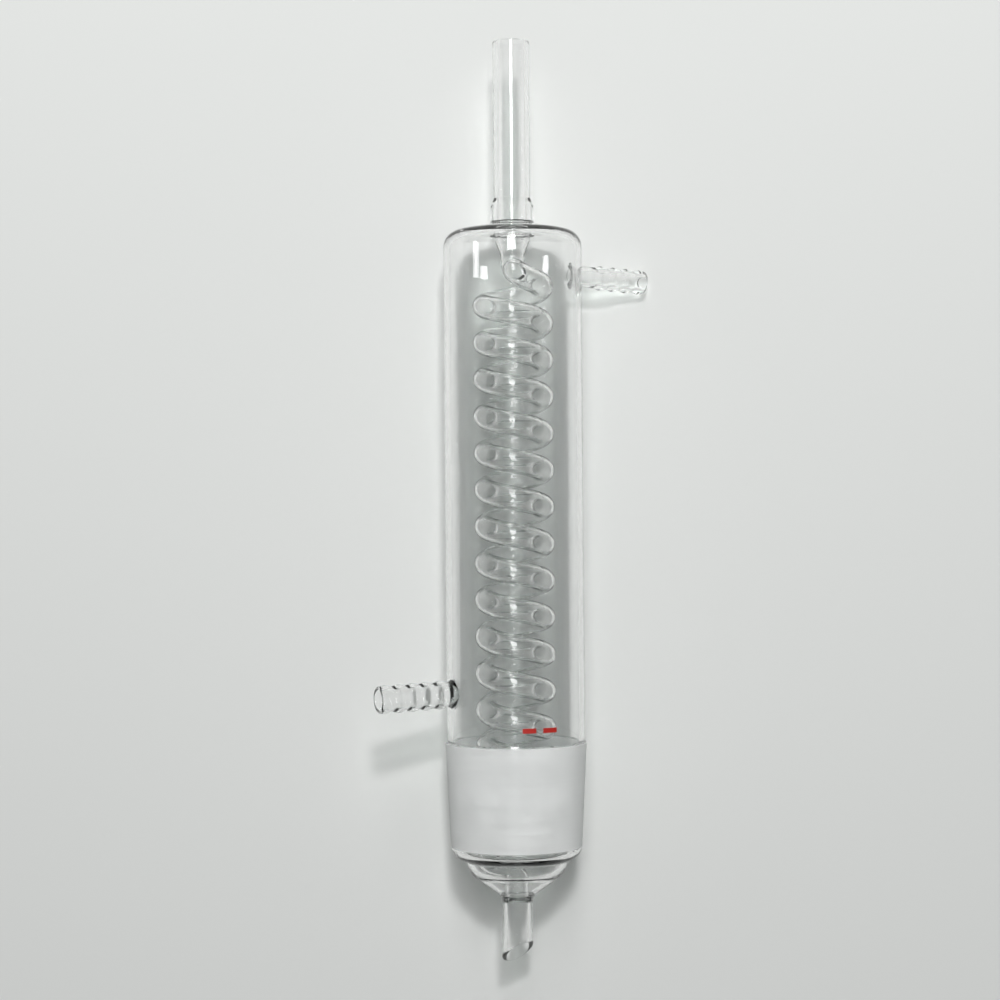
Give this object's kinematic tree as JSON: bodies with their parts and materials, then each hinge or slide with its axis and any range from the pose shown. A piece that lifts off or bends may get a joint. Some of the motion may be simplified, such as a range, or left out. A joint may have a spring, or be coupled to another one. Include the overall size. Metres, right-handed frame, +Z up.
{
  "type": "lab glass coil condenser",
  "caption": "Clear glass coil condenser with a water jacket, side hose barbs, a straight vent tube, a ground cone and a slanted drip tip.",
  "frame": {"origin": "centre of the foot of the bounding box, on the bench that the condenser lies on", "axes": "+Z up, +Y along the condenser towards its vent tube, +X towards the side of the upper hose barb, whose tip touches the bench"},
  "size_m": [0.0988, 0.3274, 0.0502],
  "materials": {
    "clear_glass": "fire polished, with a fine ground zone on the cone",
    "red_enamel": "baked enamel"
  },
  "bodies": {
    "root": {"condenser": "clear_glass"}
  },
  "joints": []
}
